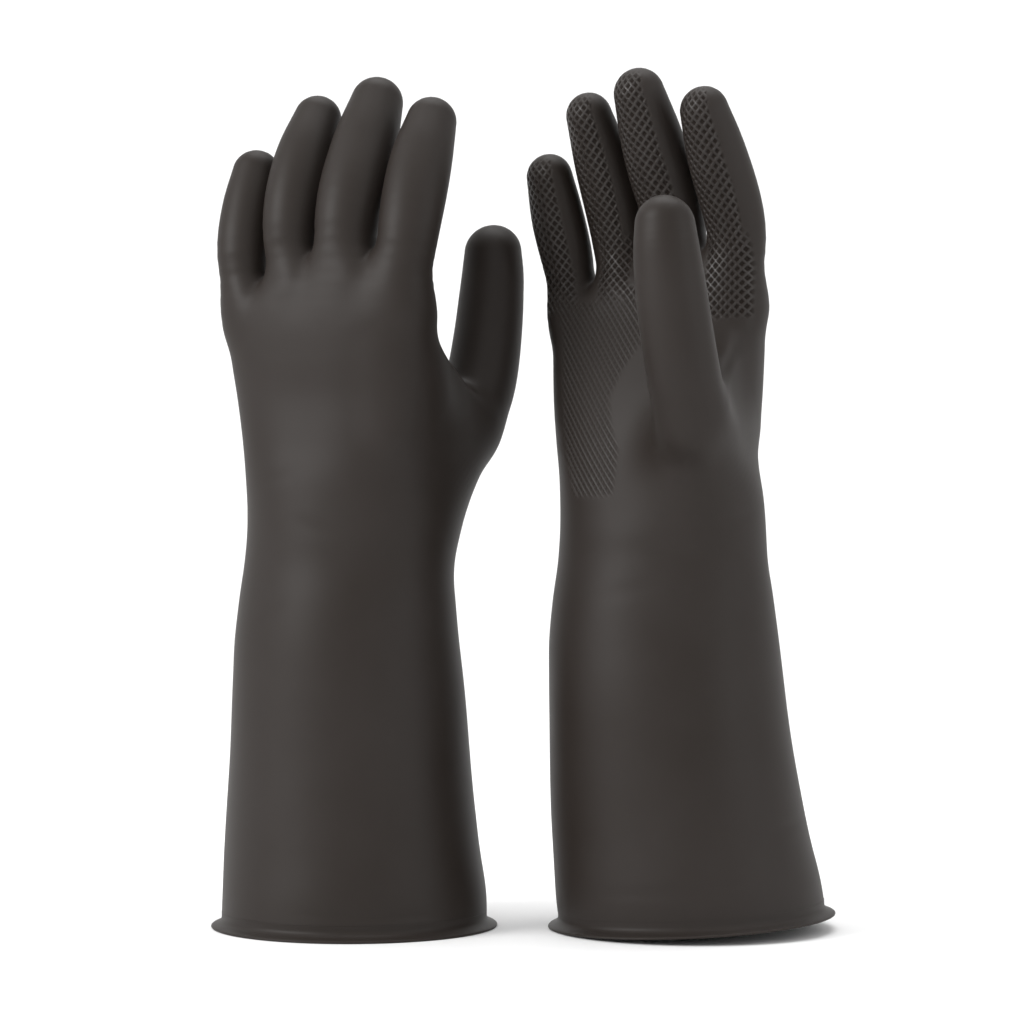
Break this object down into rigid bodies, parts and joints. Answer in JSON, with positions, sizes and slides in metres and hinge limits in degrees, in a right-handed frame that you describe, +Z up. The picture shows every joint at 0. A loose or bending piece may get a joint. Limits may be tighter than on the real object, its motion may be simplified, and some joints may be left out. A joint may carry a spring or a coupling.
{
  "type": "electrical insulating gloves",
  "caption": "Pair of long black rubber gloves with flared gauntlets, rolled cuff beads and a diamond grip on palms and fingers; wrists, fingers and thumbs flex.",
  "frame": {"origin": "middle of the pair's bounding box, on the floor", "axes": "+Z up, along the gloves; +X from the left glove to the right one; -Y to the front, where the left glove's back and the right glove's palm are seen"},
  "size_m": [0.299, 0.1746, 0.413],
  "materials": {
    "left_gauntlet_rubber": "smooth satin black rubber",
    "left_cuff_bead_rubber": "smooth satin black rubber",
    "left_hand_rubber": "smooth satin black rubber",
    "left_thumb_base_rubber": "smooth satin black rubber",
    "left_thumb_tip_rubber": "smooth satin black rubber",
    "left_index_base_rubber": "satin black rubber with a diamond grip on the palm side",
    "left_index_tip_rubber": "satin black rubber with a diamond grip on the palm side",
    "left_middle_base_rubber": "satin black rubber with a diamond grip on the palm side",
    "left_middle_tip_rubber": "satin black rubber with a diamond grip on the palm side",
    "left_ring_base_rubber": "satin black rubber with a diamond grip on the palm side",
    "left_ring_tip_rubber": "satin black rubber with a diamond grip on the palm side",
    "left_pinky_base_rubber": "satin black rubber with a diamond grip on the palm side",
    "left_pinky_tip_rubber": "satin black rubber with a diamond grip on the palm side",
    "right_gauntlet_rubber": "smooth satin black rubber",
    "right_cuff_bead_rubber": "smooth satin black rubber",
    "right_hand_rubber": "smooth satin black rubber",
    "right_thumb_base_rubber": "smooth satin black rubber",
    "right_thumb_tip_rubber": "smooth satin black rubber",
    "right_index_base_rubber": "satin black rubber with a diamond grip on the palm side",
    "right_index_tip_rubber": "satin black rubber with a diamond grip on the palm side",
    "right_middle_base_rubber": "satin black rubber with a diamond grip on the palm side",
    "right_middle_tip_rubber": "satin black rubber with a diamond grip on the palm side",
    "right_ring_base_rubber": "satin black rubber with a diamond grip on the palm side",
    "right_ring_tip_rubber": "satin black rubber with a diamond grip on the palm side",
    "right_pinky_base_rubber": "satin black rubber with a diamond grip on the palm side",
    "right_pinky_tip_rubber": "satin black rubber with a diamond grip on the palm side"
  },
  "bodies": {
    "left_gauntlet": {"left_gauntlet": "left_gauntlet_rubber", "left_cuff_bead": "left_cuff_bead_rubber"},
    "left_hand": {"left_hand": "left_hand_rubber"},
    "left_thumb_base": {"left_thumb_base": "left_thumb_base_rubber"},
    "left_thumb_tip": {"left_thumb_tip": "left_thumb_tip_rubber"},
    "left_index_base": {"left_index_base": "left_index_base_rubber"},
    "left_index_tip": {"left_index_tip": "left_index_tip_rubber"},
    "left_middle_base": {"left_middle_base": "left_middle_base_rubber"},
    "left_middle_tip": {"left_middle_tip": "left_middle_tip_rubber"},
    "left_ring_base": {"left_ring_base": "left_ring_base_rubber"},
    "left_ring_tip": {"left_ring_tip": "left_ring_tip_rubber"},
    "left_pinky_base": {"left_pinky_base": "left_pinky_base_rubber"},
    "left_pinky_tip": {"left_pinky_tip": "left_pinky_tip_rubber"},
    "right_gauntlet": {"right_gauntlet": "right_gauntlet_rubber", "right_cuff_bead": "right_cuff_bead_rubber"},
    "right_hand": {"right_hand": "right_hand_rubber"},
    "right_thumb_base": {"right_thumb_base": "right_thumb_base_rubber"},
    "right_thumb_tip": {"right_thumb_tip": "right_thumb_tip_rubber"},
    "right_index_base": {"right_index_base": "right_index_base_rubber"},
    "right_index_tip": {"right_index_tip": "right_index_tip_rubber"},
    "right_middle_base": {"right_middle_base": "right_middle_base_rubber"},
    "right_middle_tip": {"right_middle_tip": "right_middle_tip_rubber"},
    "right_ring_base": {"right_ring_base": "right_ring_base_rubber"},
    "right_ring_tip": {"right_ring_tip": "right_ring_tip_rubber"},
    "right_pinky_base": {"right_pinky_base": "right_pinky_base_rubber"},
    "right_pinky_tip": {"right_pinky_tip": "right_pinky_tip_rubber"}
  },
  "joints": [
    {"name": "left_wrist_flex", "type": "hinge", "parent": "left_gauntlet", "child": "left_hand", "pos_m": [-0.08148, 0.02481, 0.185], "axis": [-0.8746, 0.4848, 0], "range_deg": [-25, 20], "stiffness_Nm_per_rad": 4},
    {"name": "left_thumb_base_flex", "type": "hinge", "parent": "left_hand", "child": "left_thumb_base", "pos_m": [-0.01805, 0.05837, 0.26], "axis": [-0.8746, 0.4848, 0], "range_deg": [-20, 25], "stiffness_Nm_per_rad": 0.3},
    {"name": "left_thumb_tip_flex", "type": "hinge", "parent": "left_thumb_base", "child": "left_thumb_tip", "pos_m": [-0.0124, 0.06712, 0.302], "axis": [-0.8746, 0.4848, 0], "range_deg": [-45, 0], "stiffness_Nm_per_rad": 0.15},
    {"name": "left_index_base_flex", "type": "hinge", "parent": "left_hand", "child": "left_index_base", "pos_m": [-0.05641, -0.01001, 0.331], "axis": [-0.8746, 0.4848, 0], "range_deg": [-10, 35], "stiffness_Nm_per_rad": 0.3},
    {"name": "left_index_tip_flex", "type": "hinge", "parent": "left_index_base", "child": "left_index_tip", "pos_m": [-0.0493, 0.00262, 0.366], "axis": [-0.8746, 0.4848, 0], "range_deg": [0, 50], "stiffness_Nm_per_rad": 0.15},
    {"name": "left_middle_base_flex", "type": "hinge", "parent": "left_hand", "child": "left_middle_base", "pos_m": [-0.08545, 0.00609, 0.334], "axis": [-0.8746, 0.4848, 0], "range_deg": [-10, 35], "stiffness_Nm_per_rad": 0.3},
    {"name": "left_middle_tip_flex", "type": "hinge", "parent": "left_middle_base", "child": "left_middle_tip", "pos_m": [-0.07764, 0.01914, 0.373], "axis": [-0.8746, 0.4848, 0], "range_deg": [0, 50], "stiffness_Nm_per_rad": 0.15},
    {"name": "left_ring_base_flex", "type": "hinge", "parent": "left_hand", "child": "left_ring_base", "pos_m": [-0.11083, 0.02073, 0.334], "axis": [-0.8746, 0.4848, 0], "range_deg": [-10, 35], "stiffness_Nm_per_rad": 0.3},
    {"name": "left_ring_tip_flex", "type": "hinge", "parent": "left_ring_base", "child": "left_ring_tip", "pos_m": [-0.10443, 0.0325, 0.369], "axis": [-0.8746, 0.4848, 0], "range_deg": [0, 50], "stiffness_Nm_per_rad": 0.15},
    {"name": "left_pinky_base_flex", "type": "hinge", "parent": "left_hand", "child": "left_pinky_base", "pos_m": [-0.13489, 0.03406, 0.321], "axis": [-0.8746, 0.4848, 0], "range_deg": [-10, 35], "stiffness_Nm_per_rad": 0.3},
    {"name": "left_pinky_tip_flex", "type": "hinge", "parent": "left_pinky_base", "child": "left_pinky_tip", "pos_m": [-0.13135, 0.04147, 0.346], "axis": [-0.8746, 0.4848, 0], "range_deg": [0, 50], "stiffness_Nm_per_rad": 0.15},
    {"name": "right_wrist_flex", "type": "hinge", "parent": "right_gauntlet", "child": "right_hand", "pos_m": [0.06575, 0.00759, 0.18806], "axis": [0.8976, -0.4384, 0.047], "range_deg": [-25, 20], "stiffness_Nm_per_rad": 4},
    {"name": "right_thumb_base_flex", "type": "hinge", "parent": "right_hand", "child": "right_thumb_base", "pos_m": [0.0707, -0.06361, 0.26342], "axis": [0.8976, -0.4384, 0.047], "range_deg": [-20, 25], "stiffness_Nm_per_rad": 0.3},
    {"name": "right_thumb_tip_flex", "type": "hinge", "parent": "right_thumb_base", "child": "right_thumb_tip", "pos_m": [0.06458, -0.07326, 0.30516], "axis": [0.8976, -0.4384, 0.047], "range_deg": [-45, 0], "stiffness_Nm_per_rad": 0.15},
    {"name": "right_index_base_flex", "type": "hinge", "parent": "right_hand", "child": "right_index_base", "pos_m": [0.10095, 0.00703, 0.3361], "axis": [0.8976, -0.4384, 0.047], "range_deg": [-10, 35], "stiffness_Nm_per_rad": 0.3},
    {"name": "right_index_tip_flex", "type": "hinge", "parent": "right_index_base", "child": "right_index_tip", "pos_m": [0.09286, -0.00604, 0.37073], "axis": [0.8976, -0.4384, 0.047], "range_deg": [0, 50], "stiffness_Nm_per_rad": 0.15},
    {"name": "right_middle_base_flex", "type": "hinge", "parent": "right_hand", "child": "right_middle_base", "pos_m": [0.07099, 0.02159, 0.33754], "axis": [0.8976, -0.4384, 0.047], "range_deg": [-10, 35], "stiffness_Nm_per_rad": 0.3},
    {"name": "right_middle_tip_flex", "type": "hinge", "parent": "right_middle_base", "child": "right_middle_tip", "pos_m": [0.06275, 0.00771, 0.37616], "axis": [0.8976, -0.4384, 0.047], "range_deg": [0, 50], "stiffness_Nm_per_rad": 0.15},
    {"name": "right_ring_base_flex", "type": "hinge", "parent": "right_hand", "child": "right_ring_base", "pos_m": [0.04448, 0.03398, 0.33615], "axis": [0.8976, -0.4384, 0.047], "range_deg": [-10, 35], "stiffness_Nm_per_rad": 0.3},
    {"name": "right_ring_tip_flex", "type": "hinge", "parent": "right_ring_base", "child": "right_ring_tip", "pos_m": [0.03669, 0.02198, 0.37079], "axis": [0.8976, -0.4384, 0.047], "range_deg": [0, 50], "stiffness_Nm_per_rad": 0.15},
    {"name": "right_pinky_base_flex", "type": "hinge", "parent": "right_hand", "child": "right_pinky_base", "pos_m": [0.02047, 0.04604, 0.32187], "axis": [0.8976, -0.4384, 0.047], "range_deg": [-10, 35], "stiffness_Nm_per_rad": 0.3},
    {"name": "right_pinky_tip_flex", "type": "hinge", "parent": "right_pinky_base", "child": "right_pinky_tip", "pos_m": [0.01513, 0.03889, 0.34663], "axis": [0.8976, -0.4384, 0.047], "range_deg": [0, 50], "stiffness_Nm_per_rad": 0.15},
    {"name": "right_glove_lift", "type": "slide", "parent": "left_gauntlet", "child": "right_gauntlet", "axis": [0, 0, 1], "range_m": [0, 0.3]}
  ]
}
